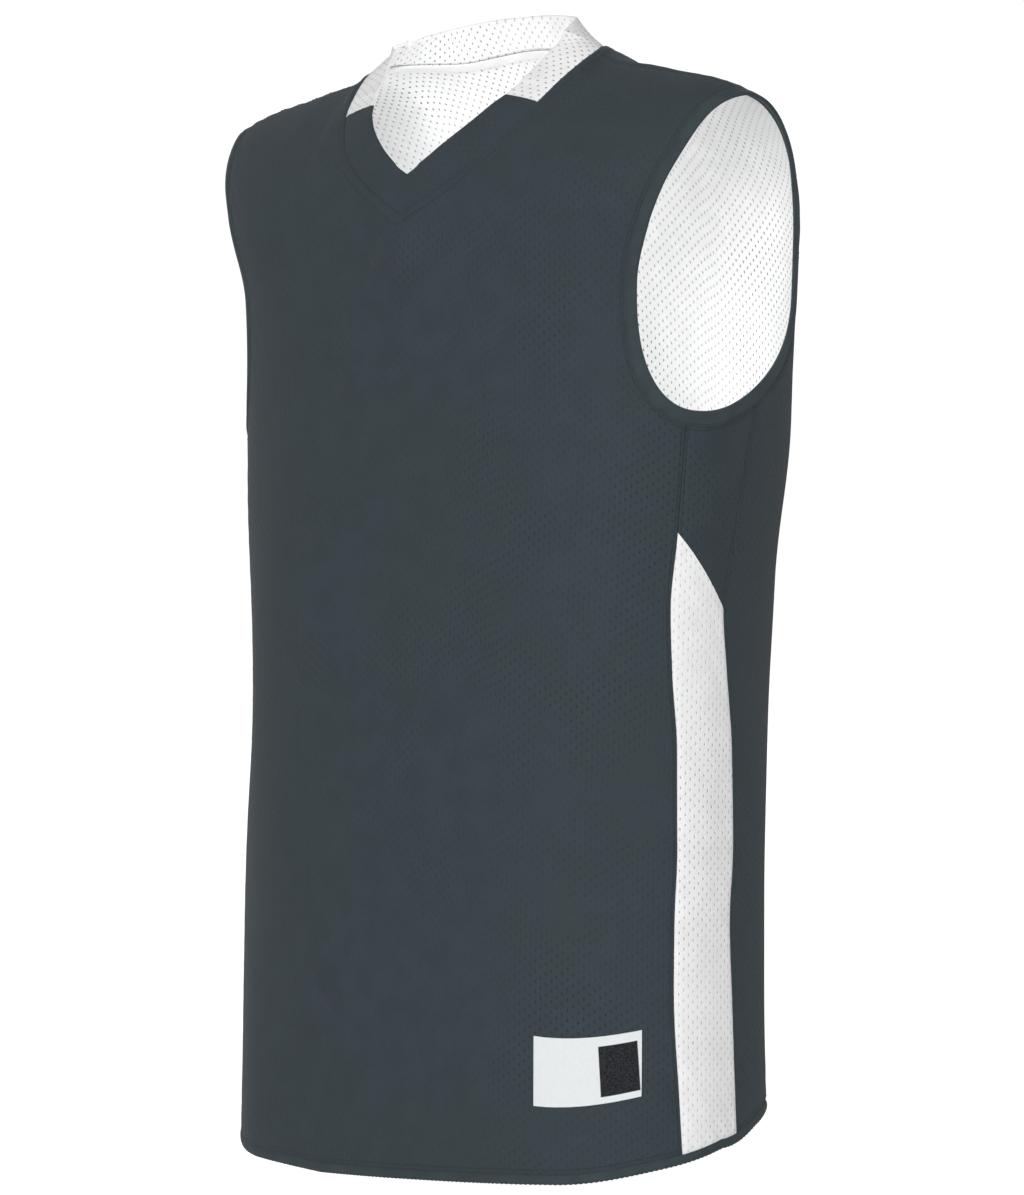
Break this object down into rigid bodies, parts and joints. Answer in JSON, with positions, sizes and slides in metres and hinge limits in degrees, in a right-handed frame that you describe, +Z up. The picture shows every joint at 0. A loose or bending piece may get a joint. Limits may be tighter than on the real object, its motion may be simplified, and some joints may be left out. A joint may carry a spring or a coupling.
{
  "type": "basketball jersey",
  "caption": "Sleeveless V-neck basketball jersey in two-layer mesh, dark outside and white inside, with dark armhole and hem bands, white side inserts and a plain hem label.",
  "frame": {"origin": "inside the neck, on the centre plane, level with the two points where the line of the shoulders meets the collar, where the wearer's shoulders hold the jersey", "axes": "+Z up, -Y out of the front, +X to the wearer's left"},
  "size_m": [0.4406, 0.2424, 0.7642],
  "materials": {
    "graphite": "matt graphite polyester mesh",
    "white": "matt white polyester mesh",
    "label": "smooth woven white label"
  },
  "bodies": {
    "root": {"front_panel": "graphite", "back_panel": "graphite", "lining_front": "white", "lining_back": "white", "side_yoke_left": "graphite", "side_yoke_right": "graphite", "side_insert_left": "white", "side_insert_right": "white", "collar_front_left": "graphite", "collar_front_right": "graphite", "collar_back": "white", "armhole_band_left": "graphite", "armhole_band_right": "graphite", "hem_band": "graphite", "label_patch": "label", "neck_tape": "white"}
  },
  "joints": []
}
